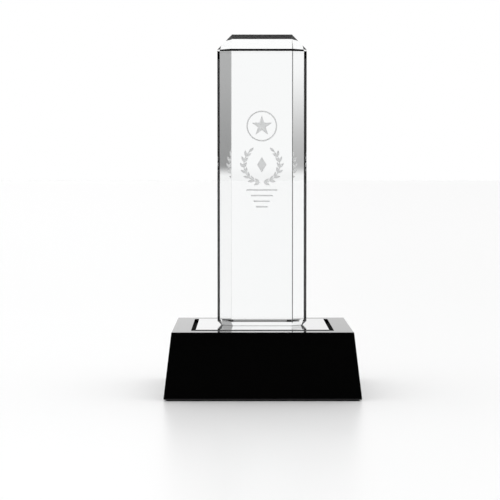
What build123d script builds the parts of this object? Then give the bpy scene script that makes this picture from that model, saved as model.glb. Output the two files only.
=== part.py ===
from build123d import *

import math
import os

# Column trophy: a clear crystal column on a tapered, gloss-black base.
#
# The column is bonded to a bright plate. The plate lies on a black adhesive foam liner in a
# square recess in the block, a border of liner shows all round it, and it stands slightly
# proud of the block. The artwork is etched into the back face and filled.
#
# Millimetres. +Z is up and the front is -Y. The origin is the middle of the felt's underside,
# on the surface that the trophy stands on.

# Base block: a tapered square block in gloss lacquer
BLOCK_BOTTOM_WIDTH = 128.0
BLOCK_TOP_WIDTH = 118.0
BLOCK_HEIGHT = 43.0
BLOCK_EDGE_RADIUS = 0.5

# Felt under the block
FELT_THICKNESS = 1.0
FELT_MARGIN = 1.5  # from the edge of the block's underside to the felt
FELT_CORNER_RADIUS = 3.0

# Recess in the block, with its liner and plate
RIM_WIDTH = 12.3  # lacquered rim round the recess
RECESS_CORNER_RADIUS = 0.8
LINER_THICKNESS = 1.0
LINER_CLEARANCE = 0.1  # all round, inside the recess
PLATE_BORDER = 3.0  # liner that shows round the plate
PLATE_THICKNESS = 3.0
PLATE_PROUD = 0.4  # plate's top face above the block's
PLATE_CORNER_RADIUS = 0.6
PLATE_EDGE_CHAMFER = 0.15

# Crystal column
COLUMN_WIDTH = 60.0
COLUMN_DEPTH = 33.0
COLUMN_HEIGHT = 195.1
CORNER_FLAT = 9.4  # vertical corner flats, measured along each face
CROWN_INSET = 9.9  # from a side face in to the top face
CROWN_HEIGHT = 10.2
FOOT_BEVEL = 2.6

# Black adhesive film between the column's foot and the plate
BOND_THICKNESS = 0.1
BOND_MARGIN = 0.5  # from the edge of the foot to the cured film

# Filled etching on the column's back face, with heights measured above the column's foot
ETCH_DEPTH = 0.3
EMBLEM_HEIGHT = 134.2
EMBLEM_RING_RADIUS = 10.4
EMBLEM_RING_LINE = 0.9
STAR_RADIUS = 7.2
STAR_POINTS = 5
STAR_INNER_SHARE = 0.382  # inner radius over outer radius of a regular five-pointed star
LAUREL_HEIGHT = 108.0
LAUREL_RADIUS = 12.2
LAUREL_STEM_WIDTH = 0.5
LAUREL_START_ANGLE = -82.0  # degrees, where the right-hand stem starts near the bottom
LAUREL_SWEEP = 128.0
LAUREL_LEAF_PAIRS = 7
LEAF_LENGTH = 4.6
LEAF_WIDTH = 1.7
LEAF_ROOT_OVERLAP = 0.5  # how far a leaf's root runs back into its stem
LEAF_SPREAD = 34.0  # degrees between a leaf and its stem
LOZENGE_WIDTH = 6.4
LOZENGE_HEIGHT = 10.4
RULE_TOP_HEIGHT = 90.8
RULE_PITCH = 3.8
RULE_THICKNESS = 0.9
RULE_WIDTHS = (21.0, 15.0, 11.0, 8.0)

# Heights and places that follow from the sizes above
BLOCK_BOTTOM_Z = FELT_THICKNESS
BLOCK_TOP_Z = BLOCK_BOTTOM_Z + BLOCK_HEIGHT
PLATE_TOP_Z = BLOCK_TOP_Z + PLATE_PROUD
PLATE_BOTTOM_Z = PLATE_TOP_Z - PLATE_THICKNESS
RECESS_FLOOR_Z = PLATE_BOTTOM_Z - LINER_THICKNESS
RECESS_WIDTH = BLOCK_TOP_WIDTH - 2 * RIM_WIDTH
PLATE_WIDTH = RECESS_WIDTH - 2 * PLATE_BORDER
FOOT_Z = PLATE_TOP_Z + BOND_THICKNESS
SHOULDER_Z = FOOT_Z + COLUMN_HEIGHT - CROWN_HEIGHT
TOP_Z = FOOT_Z + COLUMN_HEIGHT
EVEN_INSET_LOSS = 2 - math.sqrt(2)  # a corner flat shortens by this share of an even inset

# Back face, with its own x to the left seen from the front, and y up from the column's foot
BACK_FACE = Plane(origin=(0, COLUMN_DEPTH / 2, FOOT_Z), x_dir=(-1, 0, 0), z_dir=(0, 1, 0))


def at_height(z):
    """Horizontal plane at height z."""
    return Plane.XY.offset(z)


def column_ring(z, inset, flat):
    """Eight corners of the column at height z, each face drawn in by inset."""
    x = COLUMN_WIDTH / 2 - inset
    y = COLUMN_DEPTH / 2 - inset
    right_side = [(x, flat - y, z), (x, y - flat, z), (x - flat, y, z)]
    left_side = [(flat - x, y, z), (-x, y - flat, z), (-x, flat - y, z)]
    return right_side + left_side + [(flat - x, -y, z), (x - flat, -y, z)]


def foot_ring(z, inset):
    """Column corners with the corner flats drawn in by the same inset as the faces."""
    return column_ring(z, inset, CORNER_FLAT - EVEN_INSET_LOSS * inset)


def flat_facet(corners):
    """Plane face through the corners, leaving out any corner that repeats the one before."""
    distinct = [point for i, point in enumerate(corners) if math.dist(point, corners[i - 1]) > 1e-6]
    return Face(Wire.make_polygon(distinct, close=True))


def faceted_solid(rings):
    """Solid with flat facets between each ring of corners and the next, closed at both ends."""
    facets = [flat_facet(rings[0]), flat_facet(rings[-1])]
    for lower, upper in zip(rings, rings[1:]):
        for i in range(len(lower)):
            facets.append(flat_facet([lower[i - 1], lower[i], upper[i], upper[i - 1]]))
    return Solid(Shell(facets))


def crystal_body():
    """Column before etching: bevelled foot, shaft, and a crown with a triangle at each corner."""
    foot = foot_ring(FOOT_Z, FOOT_BEVEL)
    shaft_bottom = column_ring(FOOT_Z + FOOT_BEVEL, 0, CORNER_FLAT)
    shoulder = column_ring(SHOULDER_Z, 0, CORNER_FLAT)
    top = column_ring(TOP_Z, CROWN_INSET, 0)
    return faceted_solid([foot, shaft_bottom, shoulder, top])


def emblem_ring():
    """Ring round the star."""
    ring = Circle(EMBLEM_RING_RADIUS) - Circle(EMBLEM_RING_RADIUS - EMBLEM_RING_LINE)
    return Pos(0, EMBLEM_HEIGHT) * ring


def emblem_star():
    """Regular star, one point up."""
    tips = []
    for step in range(2 * STAR_POINTS):
        radius = STAR_RADIUS * (STAR_INNER_SHARE if step % 2 else 1.0)
        angle = math.pi / 2 + step * math.pi / STAR_POINTS
        tips.append((radius * math.cos(angle), radius * math.sin(angle)))
    return Pos(0, EMBLEM_HEIGHT) * Polygon(*tips, align=None)


def laurel_leaf():
    """Leaf between two arcs, along x, with its root run back into the stem at the origin."""
    upper = ThreePointArc((0, 0), (LEAF_LENGTH / 2, LEAF_WIDTH / 2), (LEAF_LENGTH, 0))
    lower = ThreePointArc((LEAF_LENGTH, 0), (LEAF_LENGTH / 2, -LEAF_WIDTH / 2), (0, 0))
    return Pos(-LEAF_ROOT_OVERLAP, 0) * make_face([upper, lower])


def laurel_spray():
    """Right-hand spray: a curved stem with a leaf each side at each step and one at its tip."""
    spray = trace(
        CenterArc((0, 0), LAUREL_RADIUS, LAUREL_START_ANGLE, LAUREL_SWEEP),
        LAUREL_STEM_WIDTH,
    )
    for step in range(LAUREL_LEAF_PAIRS + 1):
        angle = LAUREL_START_ANGLE + LAUREL_SWEEP * step / LAUREL_LEAF_PAIRS
        root = Pos(
            LAUREL_RADIUS * math.cos(math.radians(angle)),
            LAUREL_RADIUS * math.sin(math.radians(angle)),
        )
        turns = (0,) if step == LAUREL_LEAF_PAIRS else (-LEAF_SPREAD, LEAF_SPREAD)
        for turn in turns:
            spray += root * Rot(0, 0, angle + 90 + turn) * laurel_leaf()
    return spray


def laurel():
    """Two sprays that open upwards, with a lozenge between them."""
    spray = laurel_spray()
    half_width = LOZENGE_WIDTH / 2
    half_height = LOZENGE_HEIGHT / 2
    lozenge = Polygon(
        (half_width, 0), (0, half_height), (-half_width, 0), (0, -half_height), align=None
    )
    return Pos(0, LAUREL_HEIGHT) * (spray + mirror(spray, about=Plane.YZ) + lozenge)


def rules():
    """Short rules under the laurel, each shorter than the one above."""
    lines = Sketch()
    for row, width in enumerate(RULE_WIDTHS):
        lines += Pos(0, RULE_TOP_HEIGHT - row * RULE_PITCH) * Rectangle(width, RULE_THICKNESS)
    return lines


def fill(outline):
    """Etched fill of one motif, flush with the column's back face."""
    return extrude(BACK_FACE * outline, -ETCH_DEPTH)


def square_ring(width, z):
    """Four corners of a centred square at height z."""
    half = width / 2
    return [(half, -half, z), (half, half, z), (-half, half, z), (-half, -half, z)]


def base_block():
    """Tapered square block with softened edges and the plate's recess in its top."""
    bottom = square_ring(BLOCK_BOTTOM_WIDTH, BLOCK_BOTTOM_Z)
    top = square_ring(BLOCK_TOP_WIDTH, BLOCK_TOP_Z)
    block = faceted_solid([bottom, top])
    block = fillet(block.edges(), BLOCK_EDGE_RADIUS)
    recess = RectangleRounded(RECESS_WIDTH, RECESS_WIDTH, RECESS_CORNER_RADIUS)
    return block - extrude(at_height(RECESS_FLOOR_Z) * recess, BLOCK_TOP_Z - RECESS_FLOOR_Z)


def base_felt():
    """Self-adhesive felt that the trophy stands on."""
    width = BLOCK_BOTTOM_WIDTH - 2 * FELT_MARGIN
    return extrude(RectangleRounded(width, width, FELT_CORNER_RADIUS), FELT_THICKNESS)


def recess_liner():
    """Black foam, adhesive on both faces, over the recess floor."""
    width = RECESS_WIDTH - 2 * LINER_CLEARANCE
    outline = RectangleRounded(width, width, RECESS_CORNER_RADIUS)
    return extrude(at_height(RECESS_FLOOR_Z) * outline, LINER_THICKNESS)


def top_plate():
    """Bright square plate that carries the column."""
    outline = RectangleRounded(PLATE_WIDTH, PLATE_WIDTH, PLATE_CORNER_RADIUS)
    plate = extrude(at_height(PLATE_BOTTOM_Z) * outline, PLATE_THICKNESS)
    return chamfer(plate.edges().group_by(Axis.Z)[-1], PLATE_EDGE_CHAMFER)


def column_bond():
    """Cured black adhesive film under the column's foot."""
    outline = foot_ring(PLATE_TOP_Z, FOOT_BEVEL + BOND_MARGIN)
    return extrude(flat_facet(outline), BOND_THICKNESS, dir=(0, 0, 1))


fills = {
    "emblem_ring_fill": fill(emblem_ring()),
    "emblem_star_fill": fill(emblem_star()),
    "laurel_fill": fill(laurel()),
    "rule_fill": fill(rules()),
}

pieces = {
    "base_block": base_block(),
    "base_felt": base_felt(),
    "recess_liner": recess_liner(),
    "top_plate": top_plate(),
    "column_bond": column_bond(),
    "crystal_column": crystal_body() - list(fills.values()),
    **fills,
}

os.makedirs("parts", exist_ok=True)
for node, piece in pieces.items():
    export_step(piece, f"parts/{node}.step")
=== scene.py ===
import math

import bmesh
import bpy
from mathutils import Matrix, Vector


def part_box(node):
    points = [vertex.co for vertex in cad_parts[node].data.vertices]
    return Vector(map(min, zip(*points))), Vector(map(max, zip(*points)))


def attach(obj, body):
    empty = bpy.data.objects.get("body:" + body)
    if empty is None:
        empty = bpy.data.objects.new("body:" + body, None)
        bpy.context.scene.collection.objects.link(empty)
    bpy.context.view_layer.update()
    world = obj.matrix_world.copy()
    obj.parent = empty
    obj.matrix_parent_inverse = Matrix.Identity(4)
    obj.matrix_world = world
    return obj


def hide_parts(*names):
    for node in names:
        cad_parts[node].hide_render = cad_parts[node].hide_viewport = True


bl_info = {
    "name": "Column trophy looks",
    "version": (1, 0, 0),
    "blender": (4, 5, 0),
    "location": "3D View > Sidebar > Trophy",
    "description": "Finishes the column trophy: crystal, plate, lacquered base, felt and studio",
    "category": "Object",
}

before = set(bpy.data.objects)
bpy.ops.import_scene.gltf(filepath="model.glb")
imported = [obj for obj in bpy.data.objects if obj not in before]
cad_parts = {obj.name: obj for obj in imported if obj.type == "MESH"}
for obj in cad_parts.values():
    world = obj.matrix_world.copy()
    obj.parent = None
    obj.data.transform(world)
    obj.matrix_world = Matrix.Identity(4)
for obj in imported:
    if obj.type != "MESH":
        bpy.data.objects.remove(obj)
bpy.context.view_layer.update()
BODY = "root"
MM = 0.001

# Meshes
LEAF_CORNERS = 32  # round the blank that a leaf is pinched from
STEM_CORNERS = 65  # along a stem's arc
CARD_STEPS = 12  # along a card's curve
MERGE_DISTANCE = 1e-7  # corners closer than this are one corner
POCKET_TOLERANCE = 0.05 * MM  # how far a grown motif's size may be from its CAD node's
FACET_ANGLE = math.radians(1)  # faces that meet at less than this are one facet
ARRIS_ANGLE = math.radians(15)  # edges sharper than this get an arris
ARTWORK_REACH = 20.0 * MM  # either side of the middle, further than any pocket reaches
ARTWORK_DEPTH = 1.0 * MM  # in from the back face, deeper than any pocket

# Nodes
MIX_A, MIX_B, MIX_RESULT = 6, 7, 2  # colour sockets of a Mix node, whose names aren't unique
NOISE_RANGE = {"From Min": 0.3, "From Max": 0.7}  # where most of a noise texture's values lie

# Studio: brightness, and heights in degrees above the horizon
SWEEP_GREY = 0.95
SOFT_LIGHT_GREY = 0.8
BACKDROP_GREY = 1.0
LOW_RING_TOP = 0.38
HIGH_RING_TOP = 4.0
CEILING_START = 30.0
CEILING_FULL = 50.0
LAMP_SPREAD = math.radians(80)  # angle of sky that the soft light fills


# Colour and node helpers


def colour(hex_code):
    """Opaque linear colour from an sRGB hex code such as #0A0A0B."""
    channels = [int(hex_code[i : i + 2], 16) / 255 for i in (1, 3, 5)]
    linear = [c / 12.92 if c <= 0.04045 else ((c + 0.055) / 1.055) ** 2.4 for c in channels]
    return (*linear, 1.0)


def grey(brightness):
    """Opaque grey of a linear brightness."""
    return (brightness, brightness, brightness, 1.0)


def add_node(tree, kind, inputs=None, **settings):
    """Adds a node with its settings, and gives each input a value or a link from a socket."""
    node = tree.nodes.new(kind)
    for name, value in settings.items():
        setattr(node, name, value)
    for name, value in (inputs or {}).items():
        if isinstance(value, bpy.types.NodeSocket):
            tree.links.new(value, node.inputs[name])
        else:
            node.inputs[name].default_value = value
    return node


def new_material(name):
    """Empty node material and its tree."""
    material = bpy.data.materials.new(name)
    material.use_nodes = True
    material.node_tree.nodes.clear()
    return material, material.node_tree


def grain(tree, pitch_mm, kind="ShaderNodeTexNoise", output="Fac", **inputs):
    """Even pattern on Object coordinates, with features about pitch_mm across."""
    place = add_node(tree, "ShaderNodeTexCoord")
    values = {"Vector": place.outputs["Object"], "Scale": 1 / (pitch_mm * MM), **inputs}
    return add_node(tree, kind, values).outputs[output]


# Materials


def polished_crystal():
    """Optical crystal, cut and wheel-polished: colourless, with the faintest waviness in its faces."""
    material, tree = new_material("polished_optical_crystal")
    waves = {"Height": grain(tree, 24.0, Detail=1.0), "Distance": 0.01 * MM, "Strength": 0.1}
    relief = add_node(tree, "ShaderNodeBump", waves)
    shader = add_node(tree, "ShaderNodeBsdfPrincipled", {
        "Base Color": colour("#FDFEFE"),
        "Roughness": 0.0,
        "IOR": 1.52,
        "Transmission Weight": 1.0,
        "Normal": relief.outputs["Normal"],
    })
    add_node(tree, "ShaderNodeOutputMaterial", {"Surface": shader.outputs["BSDF"]})
    return material


def cured_adhesive():
    """Black structural adhesive, cured to a rubbery satin with a few shallow dimples."""
    material, tree = new_material("cured_black_adhesive")
    dimples = grain(tree, 1.2, "ShaderNodeTexVoronoi", "Distance")
    relief = add_node(
        tree, "ShaderNodeBump", {"Height": dimples, "Distance": 0.01 * MM, "Strength": 0.3}
    )
    satin = {"Value": dimples, "From Min": 0.3, "From Max": 0.7, "To Min": 0.5, "To Max": 0.65}
    roughness = add_node(tree, "ShaderNodeMapRange", satin)
    shader = add_node(tree, "ShaderNodeBsdfPrincipled", {
        "Base Color": colour("#060606"),
        "Specular IOR Level": 0.2,
        "Roughness": roughness.outputs["Result"],
        "Normal": relief.outputs["Normal"],
    })
    add_node(tree, "ShaderNodeOutputMaterial", {"Surface": shader.outputs["BSDF"]})
    return material


def polished_aluminium():
    """Bright-dipped, buffed aluminium sheet: near-mirror, with a faint haze left by the buff."""
    material, tree = new_material("buffed_bright_aluminium")
    haze = {"Value": grain(tree, 9.0, Detail=4.0), **NOISE_RANGE, "To Min": 0.035, "To Max": 0.075}
    roughness = add_node(tree, "ShaderNodeMapRange", haze)
    shader = add_node(tree, "ShaderNodeBsdfPrincipled", {
        "Base Color": colour("#F2F2F3"),
        "Metallic": 1.0,
        "Roughness": roughness.outputs["Result"],
    })
    add_node(tree, "ShaderNodeOutputMaterial", {"Surface": shader.outputs["BSDF"]})
    return material


def piano_lacquer(settings):
    """Black polyester lacquer, rubbed and buffed: deep gloss with slight orange peel and haze."""
    material, tree = new_material("buffed_black_piano_lacquer")
    peel = {"Height": grain(tree, 2.6, Detail=1.0), "Distance": 0.002 * MM, "Strength": 0.25}
    relief = add_node(tree, "ShaderNodeBump", peel)
    haze = {"Value": grain(tree, 14.0, Detail=5.0), **NOISE_RANGE, "To Min": 0.03, "To Max": 0.07}
    roughness = add_node(tree, "ShaderNodeMapRange", haze)
    shader = add_node(tree, "ShaderNodeBsdfPrincipled", {
        "Base Color": (*settings.lacquer_colour, 1.0),
        "IOR": 1.52,
        "Roughness": roughness.outputs["Result"],
        "Normal": relief.outputs["Normal"],
    })
    add_node(tree, "ShaderNodeOutputMaterial", {"Surface": shader.outputs["BSDF"]})
    return material


def black_foam():
    """Closed-cell polyethylene foam sheet: matte black with a fine skin of cells."""
    material, tree = new_material("matte_black_closed_cell_foam")
    cells = grain(tree, 0.45, "ShaderNodeTexVoronoi", "Distance")
    relief = add_node(
        tree, "ShaderNodeBump", {"Height": cells, "Distance": 0.08 * MM, "Strength": 0.8}
    )
    shade = add_node(tree, "ShaderNodeMapRange", {"Value": cells, "From Min": 0.1, "From Max": 0.6})
    tones = {
        "Factor": shade.outputs["Result"], MIX_A: colour("#0A0A0A"), MIX_B: colour("#141414"),
    }
    tone = add_node(tree, "ShaderNodeMix", tones, data_type="RGBA")
    shader = add_node(tree, "ShaderNodeBsdfPrincipled", {
        "Base Color": tone.outputs[MIX_RESULT],
        "Roughness": 0.9,
        "Specular IOR Level": 0.15,
        "Normal": relief.outputs["Normal"],
    })
    add_node(tree, "ShaderNodeOutputMaterial", {"Surface": shader.outputs["BSDF"]})
    return material


def wool_felt():
    """Pressed black felt: matted fibres, drawn 0.6 mm apart so that they show, with a soft sheen."""
    material, tree = new_material("pressed_black_felt")
    fibres = grain(tree, 0.6, Detail=8.0)
    relief = add_node(
        tree, "ShaderNodeBump", {"Height": fibres, "Distance": 0.3 * MM, "Strength": 0.9}
    )
    shade = add_node(tree, "ShaderNodeMapRange", {"Value": fibres, **NOISE_RANGE})
    tones = {
        "Factor": shade.outputs["Result"], MIX_A: colour("#0C0C0D"), MIX_B: colour("#232325"),
    }
    tone = add_node(tree, "ShaderNodeMix", tones, data_type="RGBA")
    shader = add_node(tree, "ShaderNodeBsdfPrincipled", {
        "Base Color": tone.outputs[MIX_RESULT],
        "Roughness": 1.0,
        "Sheen Weight": 0.3,
        "Sheen Roughness": 0.5,
        "Normal": relief.outputs["Normal"],
    })
    add_node(tree, "ShaderNodeOutputMaterial", {"Surface": shader.outputs["BSDF"]})
    return material


def frosted_fill(settings):
    """Sand-etched crystal with a pale silver fill: a fine dry grain that scatters light both ways."""
    name = "sand_etched_silver_fill"
    if name in bpy.data.materials:
        return bpy.data.materials[name]
    material, tree = new_material(name)
    grit = grain(tree, 0.35, Detail=3.0)
    relief = add_node(
        tree, "ShaderNodeBump", {"Height": grit, "Distance": 0.05 * MM, "Strength": 0.6}
    )
    speckle = {"Value": grit, **NOISE_RANGE, "To Min": 0.92}
    shade = add_node(tree, "ShaderNodeMapRange", speckle)
    tones = {
        "Factor": 1.0, MIX_A: (*settings.etch_colour, 1.0), MIX_B: shade.outputs["Result"],
    }
    tone = add_node(tree, "ShaderNodeMix", tones, data_type="RGBA", blend_type="MULTIPLY")
    finish = {"Color": tone.outputs[MIX_RESULT], "Normal": relief.outputs["Normal"]}
    front = add_node(tree, "ShaderNodeBsdfDiffuse", finish)
    through = add_node(tree, "ShaderNodeBsdfTranslucent", finish)
    shares = {"Fac": settings.etch_translucency, 1: front.outputs["BSDF"], 2: through.outputs["BSDF"]}
    shader = add_node(tree, "ShaderNodeMixShader", shares)
    add_node(tree, "ShaderNodeOutputMaterial", {"Surface": shader.outputs["Shader"]})
    return material


def studio_floor():
    """White acrylic sheet: pale, with a soft reflection that blurs away from whatever stands on it."""
    material, tree = new_material("satin_white_acrylic")
    haze = {"Value": grain(tree, 60.0), **NOISE_RANGE, "To Min": 0.335, "To Max": 0.345}
    roughness = add_node(tree, "ShaderNodeMapRange", haze)
    shader = add_node(tree, "ShaderNodeBsdfPrincipled", {
        "Base Color": colour("#FAFAFA"),
        "IOR": 1.5,
        "Roughness": roughness.outputs["Result"],
    })
    add_node(tree, "ShaderNodeOutputMaterial", {"Surface": shader.outputs["BSDF"]})
    return material


def black_card():
    """Dead black card."""
    material, tree = new_material("black_card")
    shader = add_node(tree, "ShaderNodeEmission", {"Color": grey(0.0)})
    add_node(tree, "ShaderNodeOutputMaterial", {"Surface": shader.outputs["Emission"]})
    return material


# Settings


class TrophyCrystalSettings(bpy.types.PropertyGroup):
    """Sizes and finish of the crystal and its etching that a user would change."""

    arris: bpy.props.FloatProperty(
        name="Arris width",
        description="Width of the tiny polished flat on each edge of the crystal",
        default=0.12 * MM,
        min=0.0,
        unit="LENGTH",
    )
    bond_gap: bpy.props.FloatProperty(
        name="Bond gap",
        description="Space left above and below the adhesive film, so that faces stay apart",
        default=0.01 * MM,
        min=0.0,
        unit="LENGTH",
    )
    pocket_gap: bpy.props.FloatProperty(
        name="Pocket gap",
        description="Space left round each fill so that it and its pocket stay apart",
        default=0.01 * MM,
        min=0.0,
        unit="LENGTH",
    )
    etch_colour: bpy.props.FloatVectorProperty(
        name="Etch colour",
        description="Colour of the filled etching",
        subtype="COLOR",
        default=colour("#FCFCFC")[:3],
    )
    etch_translucency: bpy.props.FloatProperty(
        name="Etch translucency",
        description="Share of light that the etching lets through",
        default=0.85,
        min=0.0,
        max=1.0,
        subtype="FACTOR",
    )


class TrophyArtworkSettings(bpy.types.PropertyGroup):
    """Sizes of the etched motifs that repeat, which are the sizes of their pockets."""

    laurel_radius: bpy.props.FloatProperty(
        name="Laurel radius", description="Radius of the stems' arc",
        default=12.2 * MM, unit="LENGTH",
    )
    stem_width: bpy.props.FloatProperty(
        name="Stem width", description="Width of a stem", default=0.5 * MM, unit="LENGTH",
    )
    stem_start: bpy.props.FloatProperty(
        name="Stem start", description="Angle on the arc where the right-hand stem starts",
        default=math.radians(-82), subtype="ANGLE",
    )
    stem_sweep: bpy.props.FloatProperty(
        name="Stem sweep", description="Angle that a stem runs through",
        default=math.radians(128), subtype="ANGLE",
    )
    leaf_pairs: bpy.props.IntProperty(
        name="Leaf pairs", description="Pairs of leaves on a stem, below the one at its tip",
        default=7, min=1,
    )
    leaf_length: bpy.props.FloatProperty(
        name="Leaf length", description="Length of a leaf", default=4.6 * MM, unit="LENGTH",
    )
    leaf_width: bpy.props.FloatProperty(
        name="Leaf width", description="Width of a leaf", default=1.7 * MM, unit="LENGTH",
    )
    leaf_root: bpy.props.FloatProperty(
        name="Leaf root", description="How far a leaf runs back into its stem",
        default=0.5 * MM, unit="LENGTH",
    )
    leaf_spread: bpy.props.FloatProperty(
        name="Leaf spread", description="Angle between a leaf and its stem",
        default=math.radians(34), subtype="ANGLE",
    )
    lozenge_width: bpy.props.FloatProperty(
        name="Lozenge width", description="Width of the lozenge between the stems",
        default=6.4 * MM, unit="LENGTH",
    )
    lozenge_height: bpy.props.FloatProperty(
        name="Lozenge height", description="Height of the lozenge between the stems",
        default=10.4 * MM, unit="LENGTH",
    )
    rule_widths: bpy.props.FloatVectorProperty(
        name="Rule widths", description="Width of each rule, from the top one down",
        size=4, default=(21 * MM, 15 * MM, 11 * MM, 8 * MM), unit="LENGTH",
    )
    rule_thickness: bpy.props.FloatProperty(
        name="Rule thickness", description="Height of a rule", default=0.9 * MM, unit="LENGTH",
    )
    rule_pitch: bpy.props.FloatProperty(
        name="Rule pitch", description="Distance from one rule down to the next",
        default=3.8 * MM, unit="LENGTH",
    )


class TrophyBaseSettings(bpy.types.PropertyGroup):
    """Finish of the base that a user would change."""

    lacquer_colour: bpy.props.FloatVectorProperty(
        name="Lacquer colour",
        description="Colour of the gloss lacquer",
        subtype="COLOR",
        default=colour("#030303")[:3],
    )


class TrophyStageSettings(bpy.types.PropertyGroup):
    """Studio and camera that a user would change."""

    overhead: bpy.props.FloatProperty(
        name="Overhead light",
        description="Strength of the soft light above",
        default=0.85,
        min=0.0,
    )
    ceiling: bpy.props.FloatProperty(
        name="Ceiling",
        description="Grey of the room above, as seen through the crystal",
        default=0.25,
        min=0.0,
    )
    floor_reach: bpy.props.FloatProperty(
        name="Floor reach",
        description="How far the floor runs each way",
        default=60.0,
        unit="LENGTH",
    )
    card_distance: bpy.props.FloatProperty(
        name="Card distance",
        description="How far the black cards stand from the trophy",
        default=0.5,
        unit="LENGTH",
    )
    card_height: bpy.props.FloatProperty(
        name="Card height",
        description="Height of the black cards",
        default=1.2,
        unit="LENGTH",
    )
    card_start: bpy.props.FloatProperty(
        name="Card start",
        description="Angle from straight behind to a card's far edge",
        default=math.radians(104),
        subtype="ANGLE",
    )
    card_end: bpy.props.FloatProperty(
        name="Card end",
        description="Angle from straight behind to a card's near edge",
        default=math.radians(128),
        subtype="ANGLE",
    )
    lens: bpy.props.FloatProperty(
        name="Lens",
        description="Focal length of the camera",
        default=124.0,
        subtype="DISTANCE_CAMERA",
    )
    camera_place: bpy.props.FloatVectorProperty(
        name="Camera place",
        description="Where the camera stands",
        default=(-0.0117, -1.166, 0.1444),
        subtype="TRANSLATION",
        unit="LENGTH",
    )
    camera_pitch: bpy.props.FloatProperty(
        name="Camera pitch",
        description="How far the camera looks down",
        default=math.radians(2.44),
        subtype="ANGLE",
    )
    camera_yaw: bpy.props.FloatProperty(
        name="Camera yaw",
        description="How far the camera turns to its right",
        default=math.radians(0.18),
        subtype="ANGLE",
    )


# Shapes


def object_from(mesh, name):
    """Object at the origin from a bmesh."""
    data = bpy.data.meshes.new(name)
    mesh.to_mesh(data)
    mesh.free()
    made = bpy.data.objects.new(name, data)
    bpy.context.scene.collection.objects.link(made)
    return made


def node_copy(node):
    """Merged copy of a CAD node's mesh, as a bmesh."""
    mesh = bmesh.new()
    mesh.from_mesh(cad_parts[node].data)
    bmesh.ops.remove_doubles(mesh, verts=mesh.verts, dist=MERGE_DISTANCE)
    bmesh.ops.recalc_face_normals(mesh, faces=mesh.faces)
    return mesh


def finish_node(node, material):
    """Gives a CAD node its finish."""
    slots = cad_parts[node].data.materials
    slots.clear()
    slots.append(material)


def settle(piece, material, slot_name, *nodes):
    """Gives a new piece its finish and its body, and hides the CAD nodes that it stands for."""
    piece.data.materials.append(material)
    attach(piece, BODY)
    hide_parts(*nodes)


def set_in_pocket(mesh, gap):
    """Draws a fill in from its pocket's walls, so that the two surfaces stay apart."""
    bmesh.ops.recalc_face_normals(mesh, faces=mesh.faces)
    mesh.normal_update()
    inward = {vert: -gap * vert.normal for vert in mesh.verts}
    for vert, move in inward.items():
        vert.co += move


def geometry_tree(name, sizes):
    """Geometry tree with a named input for each size, and the sockets of those inputs."""
    tree = bpy.data.node_groups.new(name, "GeometryNodeTree")
    for label, value in sizes.items():
        kind = "NodeSocketInt" if isinstance(value, int) else "NodeSocketFloat"
        tree.interface.new_socket(label, in_out="INPUT", socket_type=kind)
    tree.interface.new_socket("Geometry", in_out="OUTPUT", socket_type="NodeSocketGeometry")
    return tree, add_node(tree, "NodeGroupInput").outputs


def end_geometry(tree, geometry, material):
    """Stands the flat motif upright, and ends the tree in real, finished geometry."""
    upright = add_node(
        tree, "GeometryNodeTransform", {"Geometry": geometry, "Rotation": (math.pi / 2, 0.0, 0.0)}
    )
    real = add_node(
        tree, "GeometryNodeRealizeInstances", {"Geometry": upright.outputs["Geometry"]}
    )
    finished = add_node(
        tree, "GeometryNodeSetMaterial",
        {"Geometry": real.outputs["Geometry"], "Material": material},
    )
    add_node(tree, "NodeGroupOutput", {"Geometry": finished.outputs["Geometry"]})


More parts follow.
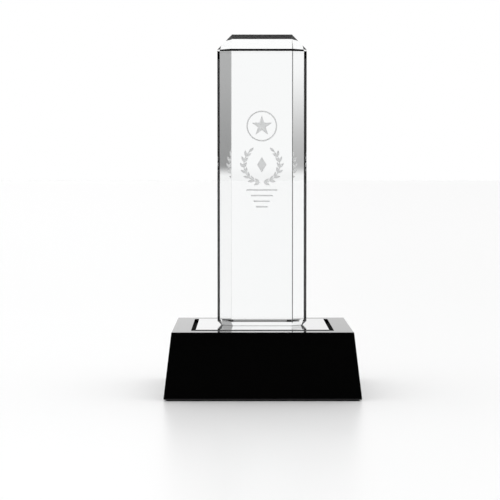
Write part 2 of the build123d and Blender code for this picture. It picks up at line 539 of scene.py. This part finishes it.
def laurel_tree(sizes, material):
    """Two curved stems with leaves along them and a lozenge between: x right, y up, z through."""
    tree, size = geometry_tree("laurel", sizes)
    depth = size["Depth"]

    # One leaf: a round blank pinched to a point at each end, then stretched to size
    blank = add_node(
        tree, "GeometryNodeMeshCylinder", {"Vertices": LEAF_CORNERS, "Radius": 0.5, "Depth": 1.0}
    )
    place = add_node(tree, "GeometryNodeInputPosition")
    axes = add_node(tree, "ShaderNodeSeparateXYZ", {0: place.outputs["Position"]})
    across = axes.outputs["Y"]
    reach = add_node(tree, "ShaderNodeMath", {0: across}, operation="ABSOLUTE").outputs[0]
    square = add_node(tree, "ShaderNodeMath", {0: across, 1: reach}, operation="MULTIPLY").outputs[0]
    pinch = add_node(tree, "ShaderNodeMath", {0: square, 1: 2.0}, operation="MULTIPLY").outputs[0]
    corner = add_node(
        tree, "ShaderNodeCombineXYZ", {"X": axes.outputs["X"], "Y": pinch, "Z": axes.outputs["Z"]}
    )
    pinched = add_node(
        tree, "GeometryNodeSetPosition",
        {"Geometry": blank.outputs["Mesh"], "Position": corner.outputs["Vector"]},
    )
    half = add_node(
        tree, "ShaderNodeMath", {0: size["Leaf length"], 1: 0.5}, operation="MULTIPLY"
    ).outputs[0]
    middle = add_node(
        tree, "ShaderNodeMath", {0: half, 1: size["Leaf root"]}, operation="SUBTRACT"
    ).outputs[0]
    shift = add_node(tree, "ShaderNodeCombineXYZ", {"X": middle})
    stretch = add_node(
        tree, "ShaderNodeCombineXYZ",
        {"X": size["Leaf length"], "Y": size["Leaf width"], "Z": depth},
    )
    leaf = add_node(tree, "GeometryNodeTransform", {
        "Geometry": pinched.outputs["Geometry"],
        "Translation": shift.outputs["Vector"],
        "Scale": stretch.outputs["Vector"],
    })

    # Places along the arc: two leaves at each step, one either side, and a last one at the tip
    pairs = size["Leaf pairs"]
    paired = add_node(tree, "ShaderNodeMath", {0: pairs, 1: 2.0}, operation="MULTIPLY").outputs[0]
    count = add_node(tree, "ShaderNodeMath", {0: paired, 1: 1.0}, operation="ADD").outputs[0]
    index = add_node(tree, "GeometryNodeInputIndex").outputs["Index"]
    halved = add_node(tree, "ShaderNodeMath", {0: index, 1: 2.0}, operation="DIVIDE").outputs[0]
    step = add_node(tree, "ShaderNodeMath", {0: halved}, operation="FLOOR").outputs[0]
    along = add_node(tree, "ShaderNodeMath", {0: step, 1: pairs}, operation="DIVIDE").outputs[0]
    angle = add_node(
        tree, "ShaderNodeMath", {0: along, 1: size["Stem sweep"], 2: size["Stem start"]},
        operation="MULTIPLY_ADD",
    ).outputs[0]
    odd = add_node(tree, "ShaderNodeMath", {0: index, 1: 2.0}, operation="MODULO").outputs[0]
    side = add_node(
        tree, "ShaderNodeMath", {0: odd, 1: 2.0, 2: -1.0}, operation="MULTIPLY_ADD"
    ).outputs[0]
    below_tip = add_node(
        tree, "ShaderNodeMath", {0: index, 1: paired}, operation="LESS_THAN"
    ).outputs[0]
    lean = add_node(tree, "ShaderNodeMath", {0: side, 1: below_tip}, operation="MULTIPLY").outputs[0]
    turned = add_node(
        tree, "ShaderNodeMath", {0: lean, 1: size["Leaf spread"], 2: angle},
        operation="MULTIPLY_ADD",
    ).outputs[0]
    heading = add_node(
        tree, "ShaderNodeMath", {0: turned, 1: math.pi / 2}, operation="ADD"
    ).outputs[0]
    facing = add_node(tree, "ShaderNodeCombineXYZ", {"Z": heading})
    outward = add_node(tree, "ShaderNodeCombineXYZ", {"X": size["Laurel radius"]})
    root = add_node(
        tree, "ShaderNodeVectorRotate", {"Vector": outward.outputs["Vector"], "Angle": angle},
        rotation_type="Z_AXIS",
    )
    points = add_node(
        tree, "GeometryNodePoints", {"Count": count, "Position": root.outputs["Vector"]}
    )
    leaves = add_node(tree, "GeometryNodeInstanceOnPoints", {
        "Points": points.outputs[0],
        "Instance": leaf.outputs["Geometry"],
        "Rotation": facing.outputs["Vector"],
    })

    # The stem, joined with its leaves into one solid
    arc = add_node(tree, "GeometryNodeCurveArc", {
        "Resolution": STEM_CORNERS,
        "Radius": size["Laurel radius"],
        "Start Angle": size["Stem start"],
        "Sweep Angle": size["Stem sweep"],
    }, mode="RADIUS")
    section = add_node(
        tree, "GeometryNodeCurvePrimitiveQuadrilateral",
        {"Width": size["Stem width"], "Height": depth},
    )
    stem = add_node(tree, "GeometryNodeCurveToMesh", {
        "Curve": arc.outputs["Curve"],
        "Profile Curve": section.outputs["Curve"],
        "Fill Caps": True,
    })
    spray = add_node(
        tree, "GeometryNodeMeshBoolean", {"Self Intersection": True},
        operation="UNION", solver="EXACT",
    )
    tree.links.new(stem.outputs["Mesh"], spray.inputs["Mesh 2"])
    tree.links.new(leaves.outputs["Instances"], spray.inputs["Mesh 2"])
    other_spray = add_node(
        tree, "GeometryNodeTransform", {"Geometry": spray.outputs["Mesh"], "Scale": (-1.0, 1.0, 1.0)}
    )

    lozenge_blank = add_node(
        tree, "GeometryNodeMeshCylinder", {"Vertices": 4, "Radius": 0.5, "Depth": 1.0}
    )
    lozenge_size = add_node(
        tree, "ShaderNodeCombineXYZ",
        {"X": size["Lozenge width"], "Y": size["Lozenge height"], "Z": depth},
    )
    lozenge = add_node(
        tree, "GeometryNodeTransform",
        {"Geometry": lozenge_blank.outputs["Mesh"], "Scale": lozenge_size.outputs["Vector"]},
    )
    whole = add_node(tree, "GeometryNodeJoinGeometry")
    for part in (spray.outputs["Mesh"], other_spray.outputs["Geometry"], lozenge.outputs["Geometry"]):
        tree.links.new(part, whole.inputs["Geometry"])
    end_geometry(tree, whole.outputs["Geometry"], material)
    return tree


def rules_tree(sizes, material):
    """Short rules one below another, each with its own width: x right, y up, z through."""
    tree, size = geometry_tree("rules", sizes)
    rows = [label for label in sizes if label.startswith("Rule width")]
    index = add_node(tree, "GeometryNodeInputIndex").outputs["Index"]
    width = add_node(tree, "GeometryNodeIndexSwitch", {"Index": index}, data_type="FLOAT")
    while len(width.index_switch_items) < len(rows):
        width.index_switch_items.new()
    for row, label in enumerate(rows):
        tree.links.new(size[label], width.inputs[row + 1])
    drop = add_node(
        tree, "ShaderNodeMath", {0: index, 1: size["Rule pitch"]}, operation="MULTIPLY"
    ).outputs[0]
    down = add_node(tree, "ShaderNodeMath", {0: drop, 1: -1.0}, operation="MULTIPLY").outputs[0]
    place = add_node(tree, "ShaderNodeCombineXYZ", {"Y": down})
    points = add_node(
        tree, "GeometryNodePoints", {"Count": len(rows), "Position": place.outputs["Vector"]}
    )
    blank = add_node(tree, "GeometryNodeMeshCube", {"Size": (1.0, 1.0, 1.0)})
    stretch = add_node(tree, "ShaderNodeCombineXYZ", {
        "X": width.outputs[0], "Y": size["Rule thickness"], "Z": size["Depth"],
    })
    rules = add_node(tree, "GeometryNodeInstanceOnPoints", {
        "Points": points.outputs[0],
        "Instance": blank.outputs["Mesh"],
        "Scale": stretch.outputs["Vector"],
    })
    end_geometry(tree, rules.outputs["Instances"], material)
    return tree


def grow(tree, sizes, node):
    """Plain mesh of a geometry tree, set where the CAD node is and checked against its size."""
    source = object_from(bmesh.new(), tree.name)
    modifier = source.modifiers.new(tree.name, "NODES")
    modifier.node_group = tree
    for socket in tree.interface.items_tree:
        if socket.in_out == "INPUT":
            modifier[socket.identifier] = sizes[socket.name]
    graph = bpy.context.evaluated_depsgraph_get()
    grown = bpy.data.meshes.new_from_object(source.evaluated_get(graph))
    source.modifiers.remove(modifier)
    bpy.data.objects.remove(source)
    mesh = bmesh.new()
    mesh.from_mesh(grown)
    bpy.data.meshes.remove(grown)
    bmesh.ops.remove_doubles(mesh, verts=mesh.verts, dist=MERGE_DISTANCE)
    low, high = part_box(node)
    corners = [vert.co for vert in mesh.verts]
    own_low, own_high = (
        Vector([pick(corner[axis] for corner in corners) for axis in range(3)]) for pick in (min, max)
    )
    misfit = max(abs(want - own) for want, own in zip(high - low, own_high - own_low))
    if misfit > POCKET_TOLERANCE:
        raise RuntimeError(f"{tree.name} is {misfit / MM:.3f} mm off the size of {node}")
    bmesh.ops.translate(mesh, verts=mesh.verts, vec=(low + high - own_low - own_high) / 2)
    return mesh


def outer_edges(mesh, back):
    """Edges between the crystal's facets, leaving out those of the pockets in its back face."""

    def near_artwork(vert):
        return vert.co.y > back - ARTWORK_DEPTH and abs(vert.co.x) < ARTWORK_REACH

    return [
        edge
        for edge in mesh.edges
        if edge.calc_face_angle(0.0) > ARRIS_ANGLE and not all(map(near_artwork, edge.verts))
    ]


class TROPHY_OT_crystal(bpy.types.Operator):
    """Cut and polished crystal column, with a tiny flat on every edge"""

    bl_idname = "trophy.crystal"
    bl_label = "Crystal column"

    def execute(self, context):
        settings = context.scene.trophy_crystal
        mesh = node_copy("crystal_column")
        bmesh.ops.dissolve_limit(
            mesh, angle_limit=FACET_ANGLE, verts=mesh.verts, edges=mesh.edges
        )
        for facet in mesh.faces:
            facet.smooth = False
        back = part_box("crystal_column")[1].y
        bmesh.ops.bevel(
            mesh, geom=outer_edges(mesh, back), offset=settings.arris, segments=1,
            affect="EDGES", offset_type="WIDTH", clamp_overlap=True,
        )
        column = object_from(mesh, "polished_column")
        settle(column, polished_crystal(), "optical_crystal", "crystal_column")
        return {"FINISHED"}


class TROPHY_OT_bond(bpy.types.Operator):
    """Black adhesive film under the column's foot"""

    bl_idname = "trophy.bond"
    bl_label = "Adhesive film"

    def execute(self, context):
        gap = context.scene.trophy_crystal.bond_gap
        mesh = node_copy("column_bond")
        low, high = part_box("column_bond")
        middle = (low.z + high.z) / 2
        for vert in mesh.verts:
            vert.co.z += gap if vert.co.z < middle else -gap
        film = object_from(mesh, "adhesive_film")
        settle(film, cured_adhesive(), "black_adhesive", "column_bond")
        return {"FINISHED"}


class TROPHY_OT_emblem(bpy.types.Operator):
    """Etched and filled ring and star on the column's back face"""

    bl_idname = "trophy.emblem"
    bl_label = "Emblem"

    def execute(self, context):
        settings = context.scene.trophy_crystal
        material = frosted_fill(settings)
        for node, name in (("emblem_ring_fill", "emblem_ring_etching"),
                           ("emblem_star_fill", "emblem_star_etching")):
            mesh = node_copy(node)
            set_in_pocket(mesh, settings.pocket_gap)
            settle(object_from(mesh, name), material, "etch_fill", node)
        return {"FINISHED"}


class TROPHY_OT_laurel(bpy.types.Operator):
    """Etched and filled laurel, with leaves along two curved stems"""

    bl_idname = "trophy.laurel"
    bl_label = "Laurel"

    def execute(self, context):
        crystal = context.scene.trophy_crystal
        art = context.scene.trophy_artwork
        low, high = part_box("laurel_fill")
        sizes = {
            "Laurel radius": art.laurel_radius,
            "Stem width": art.stem_width,
            "Stem start": art.stem_start,
            "Stem sweep": art.stem_sweep,
            "Leaf pairs": art.leaf_pairs,
            "Leaf length": art.leaf_length,
            "Leaf width": art.leaf_width,
            "Leaf root": art.leaf_root,
            "Leaf spread": art.leaf_spread,
            "Lozenge width": art.lozenge_width,
            "Lozenge height": art.lozenge_height,
            "Depth": high.y - low.y,
        }
        material = frosted_fill(crystal)
        mesh = grow(laurel_tree(sizes, material), sizes, "laurel_fill")
        set_in_pocket(mesh, crystal.pocket_gap)
        settle(object_from(mesh, "laurel_etching"), material, "etch_fill", "laurel_fill")
        return {"FINISHED"}


class TROPHY_OT_rules(bpy.types.Operator):
    """Etched and filled rules below the laurel"""

    bl_idname = "trophy.rules"
    bl_label = "Rules"

    def execute(self, context):
        crystal = context.scene.trophy_crystal
        art = context.scene.trophy_artwork
        low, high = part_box("rule_fill")
        sizes = {f"Rule width {row + 1}": width for row, width in enumerate(art.rule_widths)}
        sizes["Rule thickness"] = art.rule_thickness
        sizes["Rule pitch"] = art.rule_pitch
        sizes["Depth"] = high.y - low.y
        material = frosted_fill(crystal)
        mesh = grow(rules_tree(sizes, material), sizes, "rule_fill")
        set_in_pocket(mesh, crystal.pocket_gap)
        settle(object_from(mesh, "rule_etching"), material, "etch_fill", "rule_fill")
        return {"FINISHED"}


class TROPHY_OT_base(bpy.types.Operator):
    """Lacquered block, bright plate, foam liner and felt"""

    bl_idname = "trophy.base"
    bl_label = "Base"

    def execute(self, context):
        finish_node("base_block", piano_lacquer(context.scene.trophy_base))
        finish_node("top_plate", polished_aluminium())
        finish_node("recess_liner", black_foam())
        finish_node("base_felt", wool_felt())
        return {"FINISHED"}


def studio_world(settings):
    """Surroundings with a brightness of their own for the camera, soft light, reflections and glass."""
    world = bpy.data.worlds.new("studio")
    bpy.context.scene.world = world
    world.use_nodes = True
    tree = world.node_tree
    tree.nodes.clear()
    place = add_node(tree, "ShaderNodeTexCoord")
    axes = add_node(tree, "ShaderNodeSeparateXYZ", {"Vector": place.outputs["Generated"]})
    turn = add_node(
        tree, "ShaderNodeMath", {0: axes.outputs["X"], 1: axes.outputs["Y"]}, operation="ARCTAN2"
    )
    full_turn = {"Value": turn.outputs[0], "From Min": -math.pi, "From Max": math.pi}
    azimuth = add_node(tree, "ShaderNodeMapRange", full_turn)

    def ring(*stops):
        """Brightness round the trophy: degrees to the right of straight behind, and brightness there."""
        ramp = add_node(tree, "ShaderNodeValToRGB", {"Fac": azimuth.outputs["Result"]})
        points = ramp.color_ramp.elements
        points.remove(points[0])
        for i, (degrees, brightness) in enumerate(stops):
            where = degrees / 360 + 0.5
            point = points[0] if i == 0 else points.new(where)
            point.position = where
            point.color = grey(brightness)
        return ramp.outputs["Color"]

    def climb(start, end):
        """Rises from 0 to 1 between two elevations in degrees."""
        heights = {"From Min": math.sin(math.radians(start)), "From Max": math.sin(math.radians(end))}
        rise = add_node(
            tree, "ShaderNodeMapRange", {"Value": axes.outputs["Z"], **heights},
            interpolation_type="SMOOTHSTEP",
        )
        return rise.outputs["Result"]

    def covered(ground, *layers):
        """Ground under layers, each a share and the brightness that it brings in."""
        for share, brightness in layers:
            layer = {"Factor": share, MIX_A: ground, MIX_B: brightness}
            mix = add_node(tree, "ShaderNodeMix", layer, data_type="RGBA")
            ground = mix.outputs[MIX_RESULT]
        return ground

    low_ring = ring(
        (-179, 0.9), (-60, 0.9), (-38, 0.48), (-17, 0.48), (-9, 1.0),
        (9, 1.0), (17, 0.31), (38, 0.31), (60, 0.9), (179, 0.9),
    )
    high_ring = ring(
        (-179, 0.9), (-60, 0.95), (-38, 1.02), (-9, 1.0),
        (9, 1.0), (17, 0.44), (38, 0.44), (60, 0.9), (179, 0.9),
    )
    through_crystal = covered(
        grey(SWEEP_GREY),
        (climb(0.0, LOW_RING_TOP), low_ring),
        (climb(LOW_RING_TOP, HIGH_RING_TOP), high_ring),
        (climb(CEILING_START, CEILING_FULL), grey(settings.ceiling)),
    )
    reflected = ring(
        (-179, 0.015), (-110, 0.02), (-80, 0.02), (-65, 0.9), (-4, 1.0),
        (4, 0.88), (65, 0.85), (80, 0.02), (110, 0.02), (179, 0.015),
    )
    path = add_node(tree, "ShaderNodeLightPath")
    seen = covered(
        reflected,
        (path.outputs["Is Transmission Ray"], through_crystal),
        (path.outputs["Is Diffuse Ray"], grey(SOFT_LIGHT_GREY)),
        (path.outputs["Is Camera Ray"], grey(BACKDROP_GREY)),
    )
    light = add_node(tree, "ShaderNodeBackground", {"Color": seen})
    add_node(tree, "ShaderNodeOutputWorld", {"Surface": light.outputs["Background"]})


def shade_card(side, material, settings):
    """Curved black card beside the trophy, seen only through the crystal, to darken its outline."""
    mesh = bmesh.new()
    columns = []
    for i in range(CARD_STEPS + 1):
        angle = settings.card_start + (settings.card_end - settings.card_start) * i / CARD_STEPS
        x = side * settings.card_distance * math.sin(angle)
        y = settings.card_distance * math.cos(angle)
        columns.append([mesh.verts.new((x, y, z)) for z in (0.0, settings.card_height)])
    for near, far in zip(columns, columns[1:]):
        mesh.faces.new((near[0], far[0], far[1], near[1]))
    card = object_from(mesh, "shade_card_right" if side > 0 else "shade_card_left")
    card.data.materials.append(material)
    for ray in ("camera", "diffuse", "glossy", "shadow", "volume_scatter"):
        setattr(card, f"visible_{ray}", False)


class TROPHY_OT_stage(bpy.types.Operator):
    """Pale floor, soft lights, studio surroundings and the camera"""

    bl_idname = "trophy.stage"
    bl_label = "Studio"

    def execute(self, context):
        settings = context.scene.trophy_stage
        context.scene.view_settings.view_transform = "Standard"
        studio_world(settings)
        mesh = bmesh.new()
        bmesh.ops.create_grid(mesh, x_segments=1, y_segments=1, size=settings.floor_reach)
        floor = object_from(mesh, "floor")
        floor.data.materials.append(studio_floor())
        card_material = black_card()
        for side in (-1, 1):
            shade_card(side, card_material, settings)
        lamp = bpy.data.lights.new("overhead_light", "SUN")
        lamp.energy = settings.overhead
        lamp.angle = LAMP_SPREAD
        overhead = bpy.data.objects.new("overhead_light", lamp)
        overhead.visible_glossy = False
        overhead.visible_transmission = False
        context.scene.collection.objects.link(overhead)
        data = bpy.data.cameras.new("camera")
        data.lens = settings.lens
        data.clip_end = 2 * settings.floor_reach
        camera = bpy.data.objects.new("camera", data)
        camera.location = settings.camera_place
        camera.rotation_euler = (math.pi / 2 - settings.camera_pitch, 0.0, -settings.camera_yaw)
        context.scene.collection.objects.link(camera)
        context.scene.camera = camera
        return {"FINISHED"}


class TROPHY_PT_panel(bpy.types.Panel):
    """Lists the trophy's pieces and settings"""

    bl_idname = "TROPHY_PT_panel"
    bl_label = "Column trophy"
    bl_space_type = "VIEW_3D"
    bl_region_type = "UI"
    bl_category = "Trophy"

    def draw(self, context):
        for holder in SETTINGS:
            group = getattr(context.scene, holder)
            for name in group.__annotations__:
                self.layout.prop(group, name)
        for step in STEPS:
            self.layout.operator(step.bl_idname)


SETTINGS = {
    "trophy_crystal": TrophyCrystalSettings,
    "trophy_artwork": TrophyArtworkSettings,
    "trophy_base": TrophyBaseSettings,
    "trophy_stage": TrophyStageSettings,
}
STEPS = (
    TROPHY_OT_stage,
    TROPHY_OT_crystal,
    TROPHY_OT_bond,
    TROPHY_OT_emblem,
    TROPHY_OT_laurel,
    TROPHY_OT_rules,
    TROPHY_OT_base,
)


def register():
    for name, group in SETTINGS.items():
        bpy.utils.register_class(group)
        setattr(bpy.types.Scene, name, bpy.props.PointerProperty(type=group))
    for step in STEPS:
        bpy.utils.register_class(step)
    bpy.utils.register_class(TROPHY_PT_panel)


def unregister():
    bpy.utils.unregister_class(TROPHY_PT_panel)
    for step in reversed(STEPS):
        bpy.utils.unregister_class(step)
    for name, group in SETTINGS.items():
        delattr(bpy.types.Scene, name)
        bpy.utils.unregister_class(group)


def main():
    register()
    bpy.ops.trophy.stage()
    bpy.ops.trophy.crystal()
    bpy.ops.trophy.bond()
    bpy.ops.trophy.emblem()
    bpy.ops.trophy.laurel()
    bpy.ops.trophy.rules()
    bpy.ops.trophy.base()


if __name__ == "__main__":
    main()
